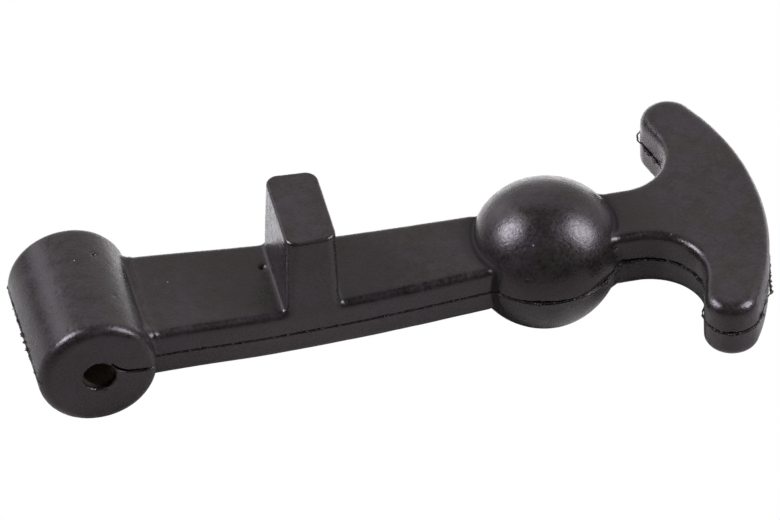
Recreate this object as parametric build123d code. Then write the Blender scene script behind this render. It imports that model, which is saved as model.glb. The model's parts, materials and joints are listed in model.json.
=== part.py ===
from build123d import *
import math
import os

# Flexible draw latch, moulded in one piece from black rubber.
#
# A hinge eye carries the latch on a steel pin. A flat strap stretches from the eye to a ball,
# which snaps behind a slotted keeper, and a bow-shaped T handle on a short neck pulls it over.
# A stop block stands across the strap's upper face.
#
# Millimetres and degrees. The origin is the middle of the eye's bore. +X runs from the eye to
# the handle, +Y along the bore and +Z up, to the block's side. The mould parts at z = 0, and
# the latch is symmetrical about y = 0.

# Hinge eye: a barrel across the strap's end, bored for its pin.
pin_diameter = 6.0
bore_clearance = 0.1
eye_diameter = 22.0
eye_length = 29.5
eye_rim_radius = 1.7

# Strap: flat, and tapering in width from the eye to the ball. Each end of the barrel stands out
# past the strap's side by the shoulder.
strap_thickness = 10.0
eye_shoulder = 3.15
strap_width_at_ball = 17.0
strap_edge_radius = 1.6

# Stop block: as wide as the strap, its middle this far from the bore.
block_distance = 41.1
block_thickness = 10.1
block_height = 15.5
block_foot_radius = 1.0
block_top_bevel = 0.4

# Ball: its centre this far from the bore's.
ball_distance = 86.5
ball_diameter = 27.9

# T handle: neck and bow in one plate. The reach runs from the ball's centre to the crown, and
# the flanks of the wings lean back towards the ball.
neck_width = 13.9
handle_thickness = 11.7
handle_reach = 40.7
handle_span = 60.1
crown_radius = 55.8
tip_radius = 5.0
waist_radius = 9.8
flank_lean = 16.2
handle_edge_radius = 1.6

# Mould: the walls lean away from the parting plane, and each form runs into the next with a
# small radius.
draft_angle = 1.0
joint_radius = 1.0

bore_radius = (pin_diameter + bore_clearance) / 2
eye_radius = eye_diameter / 2
ball_radius = ball_diameter / 2
strap_top = strap_thickness / 2
strap_width_at_eye = eye_length - 2 * eye_shoulder
block_top = strap_top + block_height

# How near an edge's middle lies to a plane before it counts as lying in it.
near = 0.5


def rim_point(turn):
    """The point of the barrel's section that lies this many degrees round its rim."""
    from_side = eye_rim_radius * (1 - math.cos(math.radians(turn)))
    from_face = eye_rim_radius * (1 - math.sin(math.radians(turn)))
    return eye_radius - from_side, eye_length / 2 - from_face


def hinge_eye():
    """The barrel, turned about Y. Three flats stand for each rim's radius and keep the mesh
    light. The bore is cut last, through what runs into the barrel.
    """
    rim = [rim_point(turn) for turn in (0, 30, 60, 90)]
    far_rim = [(radius, -height) for radius, height in reversed(rim)]
    middle = [(0, eye_length / 2), (0, -eye_length / 2)]
    section = Polygon(*far_rim, *rim, *middle, align=None)
    return revolve(section, Axis.Y)


def strap_half_width(x):
    """Half the strap's width at the parting plane, x from the bore's centre."""
    clear_length = ball_distance - ball_radius - eye_radius
    taper = (strap_width_at_eye - strap_width_at_ball) / clear_length
    return (strap_width_at_eye - taper * (x - eye_radius)) / 2


def strap_and_block():
    """Strap and block together, from the bore's centre to the ball's.

    The side outline of both, with the radii at the block's feet, is drawn in XZ and trimmed to
    the strap's tapered plan. One radius then follows each long edge over the block's feet and
    up its corners, and the block's top is bevelled last.
    """
    lean = block_height * math.tan(math.radians(draft_angle))
    eye_side = block_distance - block_thickness / 2
    ball_side = block_distance + block_thickness / 2
    side_outline = Polygon(
        (0, -strap_top),
        (ball_distance, -strap_top),
        (ball_distance, strap_top),
        (ball_side, strap_top),
        (ball_side - lean, block_top),
        (eye_side + lean, block_top),
        (eye_side, strap_top),
        (0, strap_top),
        align=None,
    )
    corners = side_outline.vertices()
    feet = [corners.sort_by_distance((x, strap_top))[0] for x in (eye_side, ball_side)]
    side_outline = Plane.XZ * fillet(feet, block_foot_radius)
    plan = Polygon(
        (0, -strap_half_width(0)),
        (ball_distance, -strap_half_width(ball_distance)),
        (ball_distance, strap_half_width(ball_distance)),
        (0, strap_half_width(0)),
        align=None,
    )
    blank = extrude(side_outline, amount=strap_width_at_eye, both=True)
    trim = extrude(plan, amount=2 * block_top, taper=draft_angle)
    strap = (blank & (trim + mirror(trim, Plane.XY))).solid()
    strap = fillet(strap.edges().filter_by(bounds_strap_side), strap_edge_radius)
    return chamfer(strap.faces().sort_by(Axis.Z)[-1].edges(), block_top_bevel)


def bounds_strap_side(edge):
    """True for the long edges of the strap and the corners of the block."""
    middle = edge.center()
    in_parting_plane = abs(middle.Z) < near
    across_strap = abs(middle.Y) < near
    at_hidden_end = middle.X < near or middle.X > ball_distance - near
    on_block_top = middle.Z > block_top - near
    return not (in_parting_plane or across_strap or at_hidden_end or on_block_top)


def handle():
    """Neck and bow, from the ball's centre: a plate whose outline is a chain of tangent arcs."""
    crown_centre = ball_distance + handle_reach - crown_radius
    lean = math.radians(flank_lean)
    # The tip's circle touches the crown's from inside.
    tip_y = handle_span / 2 - tip_radius
    crown_half_angle = math.asin(tip_y / (crown_radius - tip_radius))
    tip_x = crown_centre + (crown_radius - tip_radius) * math.cos(crown_half_angle)
    # The flank touches the tip's circle on one side and the waist's on the other.
    waist_y = neck_width / 2 + waist_radius
    rise = tip_y - waist_y
    both_radii = tip_radius + waist_radius
    waist_x = tip_x - (both_radii - rise * math.sin(lean)) / math.cos(lean)
    flank_length = rise / math.cos(lean) - both_radii * math.tan(lean)

    neck = Line((ball_distance, neck_width / 2), (waist_x, neck_width / 2))
    waist = JernArc(neck @ 1, neck % 1, waist_radius, 90 + flank_lean)
    flank = Line(waist @ 1, waist @ 1 + (waist % 1) * flank_length)
    tip = JernArc(flank @ 1, flank % 1, tip_radius, math.degrees(crown_half_angle) - flank_lean - 180)
    crown = JernArc(tip @ 1, tip % 1, crown_radius, -2 * math.degrees(crown_half_angle))
    butt = Line((ball_distance, -neck_width / 2), (ball_distance, neck_width / 2))
    wing = Curve() + [neck, waist, flank, tip]
    outline = make_face(wing + crown + mirror(wing, Plane.XZ) + butt)

    half = extrude(outline, amount=handle_thickness / 2, taper=draft_angle)
    plate = half + mirror(half, Plane.XY)
    broad_faces = plate.faces().filter_by(Axis.Z)
    rims = [e for e in broad_faces.edges() if e.center().X > ball_distance + near]
    return fillet(rims, handle_edge_radius)


def joined(body, form):
    """Body and form as one solid, with the mould's radius along the seam between them."""
    whole = body + form
    return fillet(new_edges(body, form, combined=whole), joint_radius)


# The ball's poles lie in the strap and the neck.
ball = Pos(ball_distance, 0, 0) * Rot(0, 90, 0) * Sphere(ball_radius)
latch = joined(hinge_eye(), strap_and_block())
latch = joined(latch, ball)
latch = joined(latch, handle())
latch -= Cylinder(bore_radius, 2 * eye_length, rotation=(90, 0, 0))

os.makedirs("parts", exist_ok=True)
export_step(latch, "parts/draw_latch.step")
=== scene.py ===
import bpy
import bmesh
import json
import math
import numpy as np
from mathutils import Matrix, Vector, noise


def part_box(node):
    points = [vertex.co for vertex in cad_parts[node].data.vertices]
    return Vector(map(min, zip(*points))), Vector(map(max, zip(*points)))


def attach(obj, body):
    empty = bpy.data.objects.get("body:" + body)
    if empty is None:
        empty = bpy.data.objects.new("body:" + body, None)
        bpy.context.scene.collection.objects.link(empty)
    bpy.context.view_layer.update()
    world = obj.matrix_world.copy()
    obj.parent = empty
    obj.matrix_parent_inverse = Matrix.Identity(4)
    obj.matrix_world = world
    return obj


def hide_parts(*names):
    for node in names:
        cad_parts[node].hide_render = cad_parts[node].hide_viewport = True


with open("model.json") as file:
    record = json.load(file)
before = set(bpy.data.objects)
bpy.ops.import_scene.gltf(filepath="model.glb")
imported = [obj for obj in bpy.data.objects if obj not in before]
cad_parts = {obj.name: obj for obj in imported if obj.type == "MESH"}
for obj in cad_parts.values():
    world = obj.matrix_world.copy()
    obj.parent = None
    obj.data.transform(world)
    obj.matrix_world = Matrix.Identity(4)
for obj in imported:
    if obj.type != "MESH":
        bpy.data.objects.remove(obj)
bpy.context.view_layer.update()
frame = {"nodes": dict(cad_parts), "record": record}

# The moulding: one piece of black rubber, with a bored eye, a strap with its stop block, a ball
# and a T handle. It is pressed in a two-part mould that closes on the plane z = 0. Its shape is
# written as a distance, negative inside the rubber, and its forms run together with small radii.
low, high = (np.array(corner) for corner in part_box("draw_latch"))
bore = next(m for m in frame["record"]["mounts"] if m["name"] == "pivot_bore")
bore_radius = bore["dims"]["r_mm"] / 1000
eye_half_length = bore["dims"]["length_mm"] / 2000
eye_radius = -low[0]
ball_radius = -low[2]
crown_x = high[0]
half_span = high[1]
block_top = high[2]
ball_x = 0.0865
strap_half_thickness = 0.005
draft = math.radians(1.0)


def ramp(value, start, end):
    """From 0 at the start to 1 at the end, and flat outside them."""
    return np.clip((value - start) / (end - start), 0, 1)


def fading(away, reach):
    """1 where the distance is 0, falling to 0 over the reach."""
    return np.exp(-((away / reach) ** 2))


def rounded_meet(a, b, radius):
    """The space inside both forms, with the edge where they meet rounded."""
    edge = np.hypot(np.maximum(a + radius, 0), np.maximum(b + radius, 0))
    return np.minimum(np.maximum(a, b), -radius) + edge


def rounded_join(a, b, radius):
    """The space inside either form, with a fillet where they meet."""
    return -rounded_meet(-a, -b, radius)


def eye_form(x, y, z):
    """The hinge eye: a barrel along Y with rounded rims, shrunk a little less than the solid's."""
    rim_radius, swell, longer = 0.0021, 0.00005, 0.00015
    ends = np.abs(y - longer) - eye_half_length - longer
    return rounded_meet(np.hypot(x, z) - eye_radius - swell, ends, rim_radius)


def strap_form(x, y, z):
    """The strap and its block, which share their drafted sides and the radius along them. The
    radius grows towards the block's top.
    """
    eye_shoulder, half_width_at_ball = 0.00315, 0.0085
    block_x, block_half_thickness = 0.0411, 0.00505
    edge_radius, foot_radius, top_radius = 0.0016, 0.001, 0.0006
    softer_from, softer_at_top = 0.010, 0.0008
    half_width_at_eye = eye_half_length - eye_shoulder
    taper = (half_width_at_eye - half_width_at_ball) / (ball_x - ball_radius - eye_radius)
    half_width = half_width_at_eye - taper * (x - eye_radius) - np.abs(z) * math.tan(draft)
    side = (np.abs(y) - half_width) * math.cos(math.atan(taper))
    slab = np.abs(z) - strap_half_thickness
    lean = (z - strap_half_thickness) * math.tan(draft)
    upright = np.maximum(np.abs(x - block_x) - block_half_thickness + lean, -z)
    side_radius = edge_radius + softer_at_top * ramp(z, softer_from, block_top)
    form = rounded_meet(rounded_join(slab, upright, foot_radius), side, side_radius)
    form = rounded_meet(form, z - block_top, top_radius)
    return np.maximum(form, np.maximum(-x, x - ball_x))


def ball_form(x, y, z):
    """The ball that the keeper holds."""
    swell = 0.0001
    return np.sqrt((x - ball_x) ** 2 + y**2 + z**2) - ball_radius - swell


def arc_distance(x, y, centre, radius, start, end):
    """Distance to an arc's circle, and whether the arc itself is what lies nearest."""
    angle = np.arctan2(y - centre[1], x - centre[0])
    off = np.abs((angle - (start + end) / 2 + math.pi) % (2 * math.pi) - math.pi)
    return np.hypot(x - centre[0], y - centre[1]) - radius, off <= (end - start) / 2 + 1e-6


def handle_form(x, y, z):
    """Neck and bow: a plate whose outline is a chain of tangent lines and arcs. Towards the tips
    of the wings it swells, and its upper edge is softer.
    """
    half_thickness, edge_radius, neck_half_width = 0.00585, 0.0016, 0.00695
    crown_radius, tip_radius, waist_radius = 0.0558, 0.005, 0.0098
    softer_at_tip, tip_swell, swell_from, swell_to = 0.0009, 0.0002, 0.017, 0.026
    lean = math.radians(16.2)
    y = np.abs(y)
    crown = (crown_x - crown_radius, 0)
    tip_y = half_span - tip_radius
    crown_angle = math.asin(tip_y / (crown_radius - tip_radius))
    tip_x = crown[0] + (crown_radius - tip_radius) * math.cos(crown_angle)
    waist_y = neck_half_width + waist_radius
    rise = tip_y - waist_y
    waist_x = tip_x - (tip_radius + waist_radius - rise * math.sin(lean)) / math.cos(lean)
    waist_gap, at_waist = arc_distance(x, y, (waist_x, waist_y), waist_radius, -math.pi / 2, lean)
    flank_gap = (tip_x - x) * math.cos(lean) + (tip_y - y) * math.sin(lean) - tip_radius
    step = (x - tip_x) * math.sin(lean) + (tip_y - y) * math.cos(lean)
    flank_length = rise / math.cos(lean) - (tip_radius + waist_radius) * math.tan(lean)
    stretches = (
        arc_distance(x, y, crown, crown_radius, -crown_angle, crown_angle),
        arc_distance(x, y, (tip_x, tip_y), tip_radius, crown_angle, math.pi + lean),
        (-waist_gap, at_waist),
        (flank_gap, (step >= 0) & (step <= flank_length)),
        (y - neck_half_width, x <= waist_x),
    )
    outline = np.full_like(x, 1.0)
    for gap, near in stretches:
        outline = np.where(near & (np.abs(gap) < np.abs(outline)), gap, outline)
    towards_tip = ramp(y, swell_from, swell_to)
    outline = outline + np.abs(z) * math.tan(draft) - tip_swell * towards_tip
    upper_half = ramp(z, 0, 0.001)
    edge = edge_radius + softer_at_tip * towards_tip * upper_half
    plate = rounded_meet(outline, np.abs(z) - half_thickness, edge)
    return np.maximum(plate, ball_x - x)


def pinch(a, b, width):
    """1 along the seam between two forms, falling to 0 across the width."""
    return np.exp(-(a**2 + b**2) / width**2)


def at_strap_edge(y, z):
    """1 where a seam rounds the strap's upper edge."""
    return pinch(np.abs(y) - 0.0103, z - 0.0044, 0.0016)


def at_neck_edge(y, z):
    """1 where a seam rounds the neck's upper edge."""
    return pinch(np.abs(y) - 0.0062, z - 0.0053, 0.0016)


def moulding_form(points):
    """Distance from each point to the rubber's surface."""
    eye_seam_radius, ball_seam_radius, lip_radius = 0.0004, 0.0003, 0.0003
    wider_at_strap_edge, wider_at_neck_edge = 0.0018, 0.0011
    x, y, z = points.T
    eye, strap = eye_form(x, y, z), strap_form(x, y, z)
    ball, handle = ball_form(x, y, z), handle_form(x, y, z)
    form = rounded_join(eye, strap, eye_seam_radius + wider_at_strap_edge * at_strap_edge(y, z))
    # A fine ridge on the strap, where two blocks of the mould met beside the barrel.
    ridge_offset, ridge_radius, ridge_sunk, ridge_foot_radius = 0.00125, 0.00028, 0.000084, 0.0002
    ridge = np.hypot(eye - ridge_offset, strap + ridge_sunk) - ridge_radius
    on_upper_face = (z > 0.003) & (eye > 0)
    form = rounded_join(form, np.where(on_upper_face, ridge, 1.0), ridge_foot_radius)
    form = rounded_join(form, ball, ball_seam_radius)
    form = rounded_join(form, handle, ball_seam_radius + wider_at_neck_edge * at_neck_edge(y, z))
    # The ball's seams are drawn in to a crease, deepest down the sides of the neck.
    crease_width, strap_crease_depth, neck_crease_depth = 0.0007, 0.00021, 0.0003
    deeper_beside_neck, narrower_beside_neck = 0.0006, 0.0003
    beside_neck = ramp(np.abs(y), 0.005, 0.006) * ramp(z, 0.0045, 0.0035)
    neck_crease = pinch(ball, handle, crease_width - narrower_beside_neck * beside_neck)
    neck_crease *= neck_crease_depth + deeper_beside_neck * beside_neck
    form += neck_crease * (1 - at_neck_edge(y, z))
    form += strap_crease_depth * pinch(ball, strap, crease_width)
    return rounded_meet(form, bore_radius - np.hypot(x, z), lip_radius)


def slope(points):
    """Direction in which the distance grows, one unit vector for each point."""
    step = 2e-6
    grown = []
    for axis in np.eye(3) * step:
        grown.append(moulding_form(points + axis) - moulding_form(points - axis))
    grown = np.stack(grown, 1)
    return grown / np.maximum(np.linalg.norm(grown, axis=1, keepdims=True), 1e-12)


def settle(points, rounds):
    """Moves each point onto the rubber's surface."""
    for _ in range(rounds):
        points = points - moulding_form(points)[:, None] * slope(points)
    return points


def read_points(mesh):
    """The mesh's points as rows of x, y and z."""
    flat = np.empty(len(mesh.vertices) * 3)
    mesh.vertices.foreach_get("co", flat)
    return flat.reshape(-1, 3)


def write_points(mesh, points):
    """Moves the mesh's points to these rows of x, y and z."""
    mesh.vertices.foreach_set("co", points.astype(np.float32).ravel())
    mesh.update()


def plain_mesh(thing):
    """What the object's modifiers make, as a mesh of its own."""
    return bpy.data.meshes.new_from_object(thing.evaluated_get(bpy.context.evaluated_depsgraph_get()))


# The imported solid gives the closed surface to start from: a copy is merged and remeshed evenly,
# and its points are laid on the form and spread.
voxel = 0.00049
relax_rounds, relax_share = 8, 0.5
copied = bmesh.new()
copied.from_mesh(frame["nodes"]["draw_latch"].data)
bmesh.ops.remove_doubles(copied, verts=copied.verts, dist=1e-6)
packed_copy = bpy.data.meshes.new("latch")
copied.to_mesh(packed_copy)
copied.free()
latch = bpy.data.objects.new("latch", packed_copy)
bpy.context.scene.collection.objects.link(latch)
remesh = latch.modifiers.new("even", "REMESH")
remesh.mode = "VOXEL"
remesh.voxel_size = voxel
bpy.context.view_layer.update()
skin = plain_mesh(latch)
latch.modifiers.clear()
latch.data = skin

points = settle(read_points(skin), 4)
pairs = np.empty(len(skin.edges) * 2, np.int32)
skin.edges.foreach_get("vertices", pairs)
pairs = pairs.reshape(-1, 2)
count = np.bincount(pairs.ravel(), minlength=len(points))[:, None]
for _ in range(relax_rounds):
    total = np.zeros_like(points)
    np.add.at(total, pairs[:, 0], points[pairs[:, 1]])
    np.add.at(total, pairs[:, 1], points[pairs[:, 0]])
    points = settle(points + relax_share * (total / count - points), 2)
write_points(skin, points)


def divide(mesh, chosen, cuts):
    """Divides the faces between the chosen points, where small forms need closer points."""
    work = bmesh.new()
    work.from_mesh(mesh)
    edges = [e for e in work.edges if chosen[e.verts[0].index] and chosen[e.verts[1].index]]
    bmesh.ops.subdivide_edges(work, edges=edges, cuts=cuts, use_grid_fill=True)
    bmesh.ops.triangulate(work, faces=[f for f in work.faces if len(f.verts) > 4])
    work.to_mesh(mesh)
    work.free()
    write_points(mesh, settle(read_points(mesh), 3))


# The slit in the eye's front face, where the parting line has torn open: it leaves the bore high,
# dips to z = 0 and runs out to the rim.
slit_start, slit_end = 0.0028, 0.0108
slit_from_x = 0.0024
front_skin = 0.0004


def slit_height(x):
    """Height of the slit above the parting plane."""
    height_at_start, drop_length = 0.0019, 0.0015
    return height_at_start * np.exp(-(x - slit_start) / drop_length)


# Pits: a deep one on the barrel and another beside the block's foot, and a scatter of shallow
# ones over the ball and the barrel. Each is a place on the surface, a radius and a depth.
deep_pits = [(0.0040, 0.0070, 0.0102, 0.00034, 0.00090), (0.0345, 0.0033, 0.0050, 0.00050, 0.00060)]
pits = list(deep_pits)
dice = np.random.default_rng(5)
ball_pits, ball_pit_depth = 10, 0.00008
barrel_pits, barrel_pit_depth = 6, 0.00006
least_pit, largest_pit = 0.0003, 0.0005
for _ in range(ball_pits):
    turn, side = dice.uniform(-2.9, 0.3), dice.uniform(-0.9, 0.5)
    flat = math.sqrt(1 - side**2)
    spot = ball_radius * np.array([flat * math.cos(turn), flat * math.sin(turn), side])
    radius = dice.uniform(least_pit, largest_pit)
    pits.append((ball_x + spot[0], spot[1], spot[2], radius, ball_pit_depth))
for _ in range(barrel_pits):
    turn, along = dice.uniform(0.6, 2.6), dice.uniform(-0.012, 0.012)
    spot = eye_radius * np.array([math.cos(turn), math.sin(turn)])
    radius = dice.uniform(least_pit, largest_pit)
    pits.append((spot[0], along, spot[1], radius, barrel_pit_depth))

# The mesh is divided once along the seams and the block's top, and again round the slit, the
# bore's mouth and the pits.
seam_reach, top_reach, slit_margin, pit_margin = 0.0017, 0.0009, 0.0009, 2.4
points = read_points(skin)
x, y, z = points.T
near_eye = np.abs(eye_form(x, y, z)) < seam_reach
near_strap = np.abs(strap_form(x, y, z)) < seam_reach
near_ball = np.abs(ball_form(x, y, z)) < seam_reach
near_handle = np.abs(handle_form(x, y, z)) < seam_reach
on_seam = (near_eye & near_strap) | (near_ball & (near_strap | near_handle))
divide(skin, on_seam | (z > block_top - top_reach), 1)

points = read_points(skin)
x, y, z = points.T
on_front_face = y < -eye_half_length + front_skin
by_slit = on_front_face & (x > slit_from_x) & (np.abs(z - slit_height(x)) < slit_margin)
by_mouth = on_front_face & (np.hypot(x, z) < bore_radius + slit_margin)
fine = by_slit | by_mouth
for *place, radius, _ in pits:
    fine |= np.linalg.norm(points - np.array(place), axis=1) < pit_margin * radius
divide(skin, fine, 2)

# The parting line: the surface is cut round at z = 0 and on both sides of it.
line_half_width = 0.00015
work = bmesh.new()
work.from_mesh(skin)
for share in (0, -1, 1, -2.5, 2.5, 4.5):
    height = share * line_half_width
    for vert in work.verts:
        if abs(vert.co.z - height) < line_half_width / 4:
            vert.co.z = height
    everything = list(work.verts) + list(work.edges) + list(work.faces)
    level = {"plane_co": (0, 0, height), "plane_no": (0, 0, 1)}
    bmesh.ops.bisect_plane(work, geom=everything, dist=1e-7, **level)
bmesh.ops.triangulate(work, faces=[f for f in work.faces if len(f.verts) > 4])
work.verts.index_update()
cut_edges = [edge for edge in work.edges if all(abs(v.co.z) < 1e-7 for v in edge.verts)]
line_links = [[v.index for v in edge.verts] for edge in cut_edges]
work.to_mesh(skin)
work.free()

# Where the parting line is torn most. Each place has its middle and its spread, how badly it is
# torn from 0 to 1, how far the lower half stands out, and how far a strip has come away.
tears = (
    (-0.0105, 0.0040, 0.0100, 1.00, 0, 0.00015),
    (0.0760, -0.0105, 0.0030, 0.60, 0.0001, 0),
    (0.0830, -0.0136, 0.0060, 0.65, 0.0002, 0),
    (0.0945, -0.0107, 0.0040, 1.00, 0.0006, 0),
    (0.0985, -0.0070, 0.0030, 1.00, 0.0006, 0),
    (0.1050, -0.0068, 0.0060, 1.00, 0, 0),
    (0.1105, -0.0090, 0.0040, 1.00, 0, 0),
    (0.1132, -0.0135, 0.0030, 1.00, 0, 0),
    (0.1101, -0.0235, 0.0020, 1.00, 0, 0.0004),
    (0.1150, -0.0295, 0.0050, 0.95, 0.0001, 0),
    (0.1215, -0.0275, 0.0030, 0.85, 0, 0),
    (0.1242, -0.0205, 0.0042, 0.90, 0, 0.0010),
    (0.1110, 0.0215, 0.0045, 1.00, 0, 0.0002),
    (0.1104, 0.0262, 0.0018, 1.00, 0, 0.0008),
)
how_torn, stands_out, come_away = 3, 4, 5
torn_everywhere = 0.35


def wear(points, column, least=0.0):
    """One column of the tears, the greatest that reaches each point."""
    amount = np.full(len(points), least)
    for place in tears:
        away = np.hypot(points[:, 0] - place[0], points[:, 1] - place[1])
        amount = np.maximum(amount, place[column] * fading(away, place[2]))
    return amount


def ripple(points, size, seed):
    """Smooth noise between -1 and 1 over the points, with lumps of about this size."""
    shift = Vector((7.3 * seed, 3.1 * seed, 5.7 * seed))
    return np.array([noise.noise(Vector(point) / size + shift) for point in points])


points = read_points(skin)
outward = slope(points)
x, y, z = points.T
on_end_face = (np.abs(y) > eye_half_length - 0.0010) & (x < eye_radius)
on_front_face = y < -eye_half_length + front_skin
torn = wear(points, how_torn, torn_everywhere)
standing_out = wear(points, stands_out)

# Uneven shrinkage as the rubber cured.
rise = 0.00004 * ripple(points, 0.0075, 1) + 0.000016 * ripple(points, 0.0020, 2)

# The groove at the parting line, and the lower half standing a little proud of the upper.
groove_least, groove_more, deeper_by_ledge, wider_where_torn = 0.00010, 0.00040, 0.8, 1.3
groove_depth = groove_least + groove_more * torn
groove_depth *= np.clip(0.8 + 0.9 * ripple(points, 0.0013, 3), 0.25, 1.6)
groove_depth += deeper_by_ledge * standing_out
groove_half_width = line_half_width * (1 + wider_where_torn * torn) + np.where(z > 0, standing_out, 0)
groove = groove_depth * np.clip(1 - np.abs(z) / groove_half_width, 0, 1)
groove = np.where(on_end_face, 0, groove)
ledge_least, ledge_height = 0.00006, 0.0007
ledge = (ledge_least + standing_out) * (0.8 + 0.6 * ripple(points, 0.0020, 6)) * np.exp(z / ledge_height)
rise += np.where((z < -line_half_width / 2) & ~on_end_face, ledge, 0) - groove

# The slit, deepest and widest at the bore.
in_slit = (y < -eye_half_length + 0.0022) & (x > slit_from_x)
from_slit = np.abs(z - slit_height(x) - 0.00010 * ripple(points, 0.0012, 4))
to_rim = ramp(x, slit_start, slit_end)
slit_depth, slit_half_width = 0.0010 - 0.0005 * to_rim, 0.00052 - 0.00028 * to_rim
slit = np.where(in_slit, slit_depth * np.clip(1 - from_slit / slit_half_width, 0, 1), 0)
rise -= slit

# A rough lip round the bore's mouth, on the side towards the strap.
lip_height, lip_distance, lip_width = 0.00022, 0.0003, 0.0003
lip = lip_height * fading(np.hypot(x, z) - bore_radius - lip_distance, lip_width) * (x > 0)
rise += np.where(on_front_face, lip * (0.3 + 1.5 * ripple(points, 0.0011, 5)), 0)

for *place, radius, depth in pits:
    rise -= depth * fading(np.linalg.norm(points - np.array(place), axis=1), radius)
smooth_points = points
points = points + outward * rise[:, None]

# Where the rubber is given less bloom and so is darker: on the strap's top and upper sides, on the
# neck's upper half, and in a band round the ball just above its parting line.
on_strap = ramp(x, 0.011, 0.013) * ramp(x, 0.060, 0.040) * ramp(z, 0.002, 0.004) * ramp(z, 0.0075, 0.0055)
on_neck = ramp(x, 0.0985, 0.0995) * ramp(x, 0.114, 0.102) * ramp(z, -0.001, 0)
on_ball = ramp(np.abs(np.hypot(x - ball_x, y) - ball_radius), 0.002, 0) * ramp(z, -0.002, 0)
less_bloom = np.maximum(0.4 * on_strap, 0.9 * np.maximum(on_neck, on_ball))
less_bloom = np.clip(less_bloom * (1 + 0.5 * ripple(points, 0.0060, 8)), 0, 1)

# Painted shade in the cracks: the groove and the slit are darkened where they are deep, and so are
# the ball's seams and the two deep pits.
dark_depth, seam_and_pit = 0.00022, 1.3
strap, ball, handle = strap_form(x, y, z), ball_form(x, y, z), handle_form(x, y, z)
in_shaded_crease = pinch(ball, handle, 0.0007) * (1 - at_neck_edge(y, z)) + pinch(ball, strap, 0.0006)
for *place, radius, _ in deep_pits:
    away = np.linalg.norm(smooth_points - np.array(place), axis=1)
    in_shaded_crease = np.maximum(in_shaded_crease, fading(away, radius))
crack_shade = np.clip(np.maximum((groove + slit) / dark_depth, seam_and_pit * in_shaded_crease), 0, 1)
for name, amount in (("less_bloom", less_bloom), ("crack_shade", crack_shade)):
    skin.attributes.new(name, "FLOAT", "POINT").data.foreach_set("value", amount.astype(np.float32))


def eased(share):
    """A share from 0 to 1 that starts and ends gently."""
    return share**2 * (3 - 2 * share)


def bowed(points):
    """The latch as it lies. The strap sags between eye and ball, the handle stands higher, the
    eye has set a little askew, turned about Z and about X, and the ball lies a little high.
    """
    sag, side_sag, kept_at_block_top, stretch = 0.00079, 0.00019, 0.85, 0.00025
    lift, lift_length, tilt = 0.00085, 0.004, math.radians(0.4)
    turned_z, turned_x = 0.0125, -0.0125
    ball_lift = 0.00015
    x, y, z = points.T
    up_block = ramp(z, strap_half_thickness, block_top)
    hang = np.sin(math.pi * ramp(x, 0, ball_x)) ** 2 * (1 - kept_at_block_top * up_block)
    climb = eased(ramp(x, ball_x, ball_x + ball_radius + lift_length))
    drop = np.maximum(x - ball_x - ball_radius, 0) * math.tan(tilt)
    near_ball = ramp(x, 0.062, 0.074) * ramp(x, 0.106, 0.100)
    raised = climb * (lift - drop) - sag * hang + ball_lift * near_ball
    shift = np.stack([stretch * climb, -side_sag * hang, raised], 1)
    eye_turn = np.stack([-turned_z * y, turned_z * x - turned_x * z, turned_x * y], 1)
    at_eye = eased(ramp(x, 0.032, 0.012))
    return points + shift + eye_turn * at_eye[:, None]


write_points(skin, bowed(points))
skin.shade_smooth()


def add_node(tree, kind, inputs=None, **settings):
    """A node with its settings; an input is given a value, or the output that feeds it."""
    made = tree.nodes.new(kind)
    for name, value in settings.items():
        setattr(made, name, value)
    for name, value in (inputs or {}).items():
        if isinstance(value, bpy.types.NodeSocket):
            tree.links.new(value, made.inputs[name])
        else:
            made.inputs[name].default_value = value
    return made


# The rubber's finish: carbon-black rubber, nearly black and warm, with the grey bloom that wax
# and talc leave, cloudy over a few millimetres, a fine grain from the mould and stray dust.
black = (0.0060, 0.0046, 0.0041, 1)
violet_bloom = (0.0225, 0.0172, 0.0196, 1)
green_bloom = (0.0200, 0.0172, 0.0155, 1)
crack_shade_black = (0.0025, 0.0022, 0.0020, 1)
pin_dust = (0.18, 0.14, 0.105, 1)
stray_dust = (0.22, 0.20, 0.20, 1)
rubber = bpy.data.materials.new("rubber")
rubber.use_nodes = True
tree = rubber.node_tree
shader = tree.nodes["Principled BSDF"]
position = add_node(tree, "ShaderNodeTexCoord").outputs["Object"]


def cloud(size, detail, roughness=0.5):
    """Noise from 0 to 1 with lumps of about this size in metres."""
    inputs = {"Vector": position, "Scale": 1 / size, "Detail": detail, "Roughness": roughness}
    return add_node(tree, "ShaderNodeTexNoise", inputs).outputs["Fac"]


def spread(value, low, high, to_low=0.0, to_high=1.0):
    """The value, with low to high taken to the new limits and cut off there."""
    inputs = {"Value": value, "From Min": low, "From Max": high, "To Min": to_low, "To Max": to_high}
    return add_node(tree, "ShaderNodeMapRange", inputs).outputs["Result"]


def combine(operation, first, *others):
    """The values taken together one after another, by one operation."""
    for other in others:
        inputs = {0: first, 1: other}
        first = add_node(tree, "ShaderNodeMath", inputs, operation=operation).outputs[0]
    return first


def added(*values):
    """The values added up."""
    return combine("ADD", *values)


def product(*values):
    """The values multiplied."""
    return combine("MULTIPLY", *values)


def blend_colours(amount, first, second):
    """From the first colour to the second as the amount goes from 0 to 1."""
    # The mix node's colours are its sockets 6 and 7, and its outcome is the third.
    made = add_node(tree, "ShaderNodeMix", {0: amount, 6: first, 7: second}, data_type="RGBA")
    return made.outputs[2]


def point_value(name):
    """A value that the mesh's points carry."""
    return add_node(tree, "ShaderNodeAttribute", attribute_name=name).outputs["Fac"]


def split(vector):
    """The vector's x, y and z."""
    return add_node(tree, "ShaderNodeSeparateXYZ", {0: vector}).outputs


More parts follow.
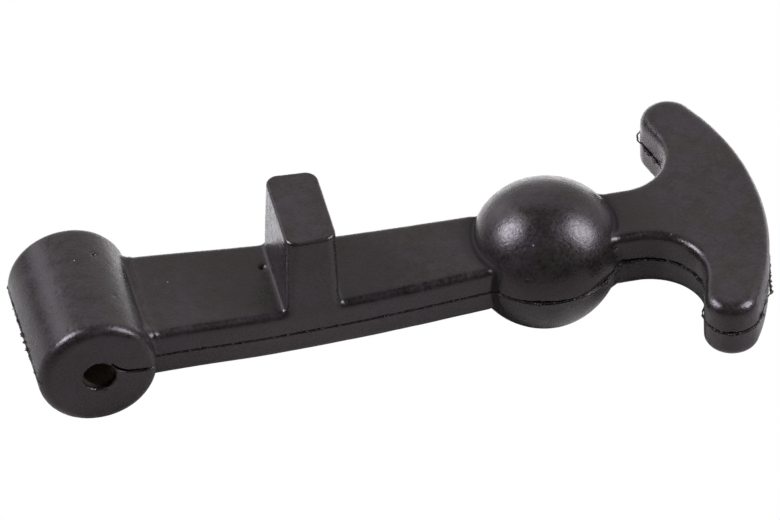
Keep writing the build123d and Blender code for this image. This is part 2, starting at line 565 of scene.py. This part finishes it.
# Bloom: how dusty the rubber is, and whether the dust leans to violet or green.
bloom = cloud(0.012, 4, 0.6)
mottle = cloud(0.0022, 5, 0.65)
fleck = spread(cloud(0.0006, 3, 0.6), 0.38, 0.62)
tint = spread(cloud(0.0060, 1), 0.4, 0.6)
dusty = added(
    spread(bloom, 0.35, 0.65, 0, 0.35),
    spread(mottle, 0.36, 0.64, 0, 0.35),
    product(fleck, 0.30),
)
# Less bloom, and so darker rubber, on the strap's top, the neck's upper half and a band round the ball.
dusty = product(dusty, spread(point_value("less_bloom"), 0, 1, 1, 0.1))
colour = blend_colours(dusty, black, blend_colours(tint, green_bloom, violet_bloom))
# Brown dust in the bore, from the pin.
across_bore = add_node(tree, "ShaderNodeVectorMath", {0: position, 1: (1, 0, 1)}, operation="MULTIPLY")
across_bore = add_node(tree, "ShaderNodeVectorMath", {0: across_bore.outputs[0]}, operation="LENGTH")
near_wall = spread(across_bore.outputs["Value"], bore_radius + 0.0003, bore_radius + 0.0001)
along_bore = combine("ABSOLUTE", split(position)[1], 0.0)
inside = spread(along_bore, eye_half_length - 0.0006, eye_half_length - 0.0020)
colour = blend_colours(product(near_wall, inside), colour, pin_dust)
# Painted shade: the cracks, the ball's seams and the deep pits are painted near black.
crack_shading = point_value("crack_shade")
colour = blend_colours(crack_shading, colour, crack_shade_black)
# Stray dust: a speck in some of the cells of a loose net.
cells = add_node(tree, "ShaderNodeTexVoronoi", {"Vector": position, "Scale": 1 / 0.0042})
cell_number = add_node(tree, "ShaderNodeSeparateColor", {0: cells.outputs["Color"]}).outputs[0]
has_speck = combine("GREATER_THAN", cell_number, 0.62)
is_speck = product(spread(cells.outputs["Distance"], 0.040, 0.024), has_speck)
colour = blend_colours(is_speck, colour, stray_dust)
tree.links.new(colour, shader.inputs["Base Color"])
# Roughness: satin, duller where the bloom is thick, and dull in cracks and on dust.
satin = added(
    spread(bloom, 0.3, 0.7, 0.24, 0.31),
    spread(mottle, 0.3, 0.7, -0.03, 0.08),
    spread(fleck, 0, 1, -0.05, 0.05),
)
roughness = combine("MAXIMUM", satin, product(crack_shading, 0.8), product(is_speck, 0.6))
tree.links.new(roughness, shader.inputs["Roughness"])
# Relief: pebbles and grain from the mould, and pores, a shallow dimple in each cell of a net.
relief_height = 0.00008
pores = add_node(tree, "ShaderNodeTexVoronoi", {"Vector": position, "Scale": 1 / 0.0008})
pores = spread(pores.outputs["Distance"], 0.1, 0.4)
pebbles, grain = cloud(0.0010, 2, 0.5), cloud(0.00040, 2, 0.6)
relief = added(product(pebbles, 0.30), product(grain, 0.40), product(mottle, 0.22), product(pores, 0.14))
bump = add_node(tree, "ShaderNodeBump", {"Height": relief, "Distance": relief_height, "Strength": 1.0})
tree.links.new(bump.outputs["Normal"], shader.inputs["Normal"])
shader.inputs["IOR"].default_value = 1.42
shader.inputs["Specular Tint"].default_value = (1.0, 0.87, 0.90, 1)
skin.materials.clear()
skin.materials.append(rubber)

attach(latch, "root")
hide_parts("draw_latch")

# The flash: thin torn fins and crumbs of rubber that squeezed out between the halves of the
# mould, along the parting line. The line is the moulding's own cut at z = 0, without the bore's.
neighbours = {}
for a, b in line_links:
    if min(abs(smooth_points[a][0]), abs(smooth_points[b][0])) > bore_radius + 0.0002:
        neighbours.setdefault(a, []).append(b)
        neighbours.setdefault(b, []).append(a)
kept = sorted(neighbours)
order = {old: new for new, old in enumerate(kept)}
line_edges = [(order[a], order[b]) for a in neighbours for b in neighbours[a] if a < b]
line_points = smooth_points[kept]
clear_of_ends = np.abs(line_points[:, 1]) < eye_half_length - 0.0006
clear_of_ends |= line_points[:, 0] > eye_radius
torn = wear(line_points, how_torn, torn_everywhere) * clear_of_ends
peeled = wear(line_points, come_away) * clear_of_ends

# Round the side of the bore's mouth that faces the strap, the core left the same flash.
mouth = [math.radians(turn) for turn in range(-62, 66, 3)]
mouth_radius, mouth_torn = bore_radius + 0.0001, 0.55
mouth_points = [(mouth_radius * math.cos(a), -eye_half_length, mouth_radius * math.sin(a)) for a in mouth]
mouth_outward = [(0.3 * math.cos(a), -0.95, 0.3 * math.sin(a)) for a in mouth]
line_edges += [(len(kept) + i, len(kept) + i + 1) for i in range(len(mouth) - 1)]
line_points = np.vstack([line_points, mouth_points])
line_outward = np.vstack([outward[kept], mouth_outward])
torn = np.concatenate([torn, [mouth_torn] * len(mouth)])
peeled = np.concatenate([peeled, [0] * len(mouth)])

line_mesh = bpy.data.meshes.new("parting_flash")
line_mesh.from_pydata(bowed(line_points).tolist(), line_edges, [])
stored = line_mesh.attributes.new("outward", "FLOAT_VECTOR", "POINT")
stored.data.foreach_set("vector", line_outward.astype(np.float32).ravel())
for name, values in (("torn", torn), ("peeled", peeled)):
    stored = line_mesh.attributes.new(name, "FLOAT", "POINT")
    stored.data.foreach_set("value", values.astype(np.float32))
flash = bpy.data.objects.new("parting_flash", line_mesh)
bpy.context.scene.collection.objects.link(flash)

flash_sizes = {
    "Step": 0.00014,
    "Root": 0.0005,
    "Thickness": 0.00016,
    "Reach": 0.0014,
    "Tatter": 0.0017,
    "Crumb spacing": 0.00035,
    "Crumb size": 0.00013,
}
flash_seed = 11
tree = bpy.data.node_groups.new("torn_flash", "GeometryNodeTree")
tree.interface.new_socket("Geometry", in_out="INPUT", socket_type="NodeSocketGeometry")
tree.interface.new_socket("Geometry", in_out="OUTPUT", socket_type="NodeSocketGeometry")
for name in flash_sizes:
    tree.interface.new_socket(name, in_out="INPUT", socket_type="NodeSocketFloat")
tree.interface.new_socket("Seed", in_out="INPUT", socket_type="NodeSocketInt")
given = tree.nodes.new("NodeGroupInput").outputs


def shaped(kind, inputs, **settings):
    """The geometry that a node makes from its inputs."""
    return add_node(tree, "GeometryNode" + kind, inputs, **settings).outputs[0]


def scaled(vector, amount):
    """The vector, made longer or shorter."""
    inputs = {0: vector, "Scale": amount}
    return add_node(tree, "ShaderNodeVectorMath", inputs, operation="SCALE").outputs[0]


def vector(parts):
    """A vector from the parts that are given, by their number."""
    return add_node(tree, "ShaderNodeCombineXYZ", parts).outputs[0]


def tatter(size, low, high):
    """Noise along the line, cut off at its limits."""
    inputs = {"W": given["Seed"], "Scale": combine("DIVIDE", 1.0, size), "Detail": 1.0}
    made = add_node(tree, "ShaderNodeTexNoise", inputs, noise_dimensions="4D")
    return spread(made.outputs["Fac"], low, high)


def attribute(name, kind):
    """A value or vector that the line's points carry."""
    made = add_node(tree, "GeometryNodeInputNamedAttribute", {"Name": name}, data_type=kind)
    return made.outputs["Attribute"]


def chance(low, high, offset, kind="FLOAT"):
    """A random value or vector between the limits, for each point."""
    seed = added(given["Seed"], offset)
    made = add_node(tree, "FunctionNodeRandomValue", {"Seed": seed}, data_type=kind)
    first = 0 if kind == "FLOAT_VECTOR" else 2
    made.inputs[first].default_value = low
    made.inputs[first + 1].default_value = high
    return made.outputs["Value" if kind == "FLOAT_VECTOR" else 1]


# The fin: a three-cornered section swept along the line, with one corner outwards as its tip.
away = attribute("outward", "FLOAT_VECTOR")
torn = attribute("torn", "FLOAT")
line = shaped("MeshToCurve", {"Mesh": given["Geometry"]})
line = shaped("ResampleCurve", {"Curve": line, "Length": given["Step"]}, mode="LENGTH")
line = shaped("SetCurveNormal", {"Curve": line, "Normal": away}, mode="FREE")
corner = add_node(tree, "GeometryNodeInputIndex").outputs[0]
# The compare node's whole numbers are its sockets 2 and 3.
is_tip = add_node(tree, "FunctionNodeCompare", {2: corner, 3: 0}, data_type="INT", operation="EQUAL")
half_thickness = product(given["Thickness"], 0.58)
section = shaped("CurvePrimitiveCircle", {"Resolution": 3, "Radius": 1.0})
tip_mark = {"Geometry": section, "Name": "tip", "Value": is_tip.outputs[0]}
section = shaped("StoreNamedAttribute", tip_mark)
section_size = vector({0: given["Root"], 1: half_thickness, 2: 1.0})
section = shaped("Transform", {"Geometry": section, "Scale": section_size})
fin = shaped("CurveToMesh", {"Curve": line, "Profile Curve": section, "Fill Caps": True})

# Its tip reaches out in patches with a ragged edge, and droops. Some strips have come away whole.
patch = tatter(given["Tatter"], 0.42, 0.66)
ragged = tatter(product(given["Tatter"], 0.2), 0.2, 0.8)
height = product(given["Reach"], torn, product(patch, ragged))
tip = attribute("tip", "FLOAT")
strip = product(attribute("peeled", "FLOAT"), tatter(product(given["Tatter"], 1.5), 0.2, 0.6))
reached = product(tip, combine("SUBTRACT", height, given["Root"]))
droop = combine("SUBTRACT", tatter(given["Tatter"], 0.0, 1.0), 0.7)
downwards = vector({2: product(height, droop, tip, 1.6)})
outwards = scaled(away, added(reached, strip))
moved = add_node(tree, "ShaderNodeVectorMath", {0: outwards, 1: downwards}).outputs[0]
fin = shaped("SetPosition", {"Geometry": fin, "Offset": moved})

# Crumbs, more of them and further out where the line is torn.
spacing = given["Crumb spacing"]
spots = shaped("ResampleCurve", {"Curve": line, "Length": spacing}, mode="LENGTH")
crumb = shaped("MeshIcoSphere", {"Radius": 1.0, "Subdivisions": 1})
crumb_size = chance((0.35, 0.35, 0.35), (1.4, 1.0, 0.9), 1, "FLOAT_VECTOR")
crumb_size = scaled(crumb_size, given["Crumb size"])
crumb_turn = chance((0.0, 0.0, 0.0), (6.28, 6.28, 6.28), 2, "FLOAT_VECTOR")
is_crumb = combine("LESS_THAN", chance(0.0, 1.0, 3), product(torn, 0.75))
crumb_shift = scaled(away, product(torn, chance(-0.0001, 0.0004, 4)))
spots = shaped("SetPosition", {"Geometry": spots, "Offset": crumb_shift})
placed = {"Points": spots, "Selection": is_crumb, "Instance": crumb}
crumbs = shaped("InstanceOnPoints", placed | {"Rotation": crumb_turn, "Scale": crumb_size})
both = tree.nodes.new("GeometryNodeJoinGeometry")
tree.links.new(fin, both.inputs[0])
tree.links.new(crumbs, both.inputs[0])
whole = shaped("RealizeInstances", {0: both.outputs[0]})
whole = shaped("SetMaterial", {"Geometry": whole, "Material": rubber})
tree.links.new(whole, tree.nodes.new("NodeGroupOutput").inputs[0])

tearing = flash.modifiers.new("torn", "NODES")
tearing.node_group = tree
for item in tree.interface.items_tree:
    if item.in_out == "INPUT" and item.name in flash_sizes:
        tearing[item.identifier] = flash_sizes[item.name]
    if item.name == "Seed":
        tearing[item.identifier] = flash_seed
bpy.context.view_layer.update()
flash_mesh = plain_mesh(flash)
flash.modifiers.clear()
flash.data = flash_mesh
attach(flash, "root")

# The floor: a sheet of white paper on a table, just under the eye and the ball. The camera sees
# it as plain white. To the rubber it shows painted light and shade, as if black and white cards
# stood about it: its colour is darker towards the front and the left, and it glows at the far
# right and in a patch under the neck.
floor_tilt = math.asin((ball_radius - eye_radius) / ball_x)
floor_half, floor_gap = 2.0, 0.0004
down = np.array([-math.sin(floor_tilt), 0, -math.cos(floor_tilt)])
along = np.array([math.cos(floor_tilt), 0, -math.sin(floor_tilt)]) * floor_half
across = np.array([0, floor_half, 0])
foot = down * (eye_radius + floor_gap)
corners = [foot - along - across, foot + along - across, foot + along + across, foot - along + across]
floor_mesh = bpy.data.meshes.new("floor")
floor_mesh.from_pydata([tuple(corner) for corner in corners], [], [(0, 1, 2, 3)])
floor = bpy.data.objects.new("floor", floor_mesh)
bpy.context.scene.collection.objects.link(floor)

paper_white, far_glow, under_neck_glow = (1.0, 0.95, 0.90, 1), 0.8, 0.5
paper = bpy.data.materials.new("paper")
paper.use_nodes = True
tree = paper.node_tree
sheet = tree.nodes["Principled BSDF"]
x, y, _ = split(add_node(tree, "ShaderNodeTexCoord").outputs["Object"])
in_front = product(spread(y, -0.055, -0.025, 0.48, 0.60), spread(x, -0.07, 0.03, 0.42, 0.91))
behind = product(spread(y, -0.010, 0.025, 0, 0.40), spread(x, -0.08, 0.08, 0.05, 1.0))
painted_brightness = added(in_front, behind)
far_right = product(spread(x, 0.03, 0.12), spread(y, 0.05, 0.09))
along_neck = product(spread(x, 0.086, 0.092), spread(x, 0.105, 0.098))
across_neck = product(spread(y, -0.024, -0.018), spread(y, 0.014, 0.006))
under_neck = product(along_neck, across_neck)
# Painted light: the paper glows at the far right and under the neck, though it is no lamp.
glowing = combine("MAXIMUM", product(far_right, far_glow), product(under_neck, under_neck_glow))
tree.links.new(blend_colours(painted_brightness, (0, 0, 0, 1), paper_white), sheet.inputs["Base Color"])
tree.links.new(glowing, sheet.inputs["Emission Strength"])
sheet.inputs["Emission Color"].default_value = (1, 1, 1, 1)
sheet.inputs["Roughness"].default_value = 0.9
sheet.inputs["Specular IOR Level"].default_value = 0.0
white = add_node(tree, "ShaderNodeEmission", {"Strength": 1.0})
to_camera = add_node(tree, "ShaderNodeLightPath").outputs["Is Camera Ray"]
mixed = add_node(tree, "ShaderNodeMixShader", {0: to_camera, 1: sheet.outputs[0], 2: white.outputs[0]})
tree.links.new(mixed.outputs[0], tree.nodes["Material Output"].inputs["Surface"])
floor_mesh.materials.append(paper)

# The room and its lamps: two cool softboxes stand high at the left and right, a wide one hangs
# behind, and a small one stands low at the back left. All face the middle of the latch.
latch_middle = Vector((0.055, 0, 0))
room_strength = 0.07
world = bpy.data.worlds.new("room")
world.use_nodes = True
room = world.node_tree.nodes["Background"].inputs
room["Color"].default_value = (1, 1, 1, 1)
room["Strength"].default_value = room_strength
bpy.context.scene.world = world
bpy.context.scene.view_settings.view_transform = "Standard"


def softbox(name, direction, distance, size, radiance, colour):
    """A flat lamp in this direction from the latch, with its width and height."""
    light = bpy.data.lights.new(name, "AREA")
    light.shape = "RECTANGLE"
    light.size, light.size_y = size
    light.energy = radiance * math.pi * size[0] * size[1]
    light.color = colour
    box = bpy.data.objects.new(name, light)
    bpy.context.scene.collection.objects.link(box)
    towards = Vector(direction).normalized()
    box.location = latch_middle + towards * distance
    box.rotation_euler = towards.to_track_quat("Z", "Y").to_euler()


cool, neutral, nearly_neutral = (0.86, 0.90, 1.0), (1.0, 1.0, 1.0), (0.9, 0.9, 1.0)
softbox("left_box", (-0.78, 0.18, 0.73), 0.6, (0.25, 0.30), 25.5, cool)
softbox("right_box", (0.76, -0.235, 0.62), 0.6, (0.24, 0.36), 19, cool)
softbox("back_box", (0.30, 0.80, 0.52), 1.2, (3.6, 1.6), 0.69, neutral)
softbox("back_left_box", (-0.58, 0.73, 0.33), 1.0, (0.45, 0.42), 1.5, nearly_neutral)

# The camera: a long lens from the front left, well above the latch and turned a little on its
# axis. The view's width is measured at the latch.
azimuth, elevation, roll = math.radians(-12.24), math.radians(42.0), math.radians(-0.576)
view_width, to_right, upwards = 0.1427526, 0.0024927, 0.0034279
distance, sensor_width = 2.5, 36
level = math.cos(elevation)
forward = Vector((-math.sin(azimuth) * level, math.cos(azimuth) * level, -math.sin(elevation)))
right = Vector((math.cos(azimuth), math.sin(azimuth), 0))
up = right.cross(forward)
rolled_right = right * math.cos(roll) + up * math.sin(roll)
rolled_up = up * math.cos(roll) - right * math.sin(roll)
target = latch_middle + rolled_right * to_right + rolled_up * upwards
camera_data = bpy.data.cameras.new("camera")
camera_data.sensor_width = sensor_width
camera_data.lens = sensor_width * distance / view_width
camera_data.clip_end = 20
camera = bpy.data.objects.new("camera", camera_data)
turn = Matrix((rolled_right, rolled_up, -forward)).transposed().to_4x4()
camera.matrix_world = Matrix.Translation(target - forward * distance) @ turn
bpy.context.scene.collection.objects.link(camera)
bpy.context.scene.camera = camera
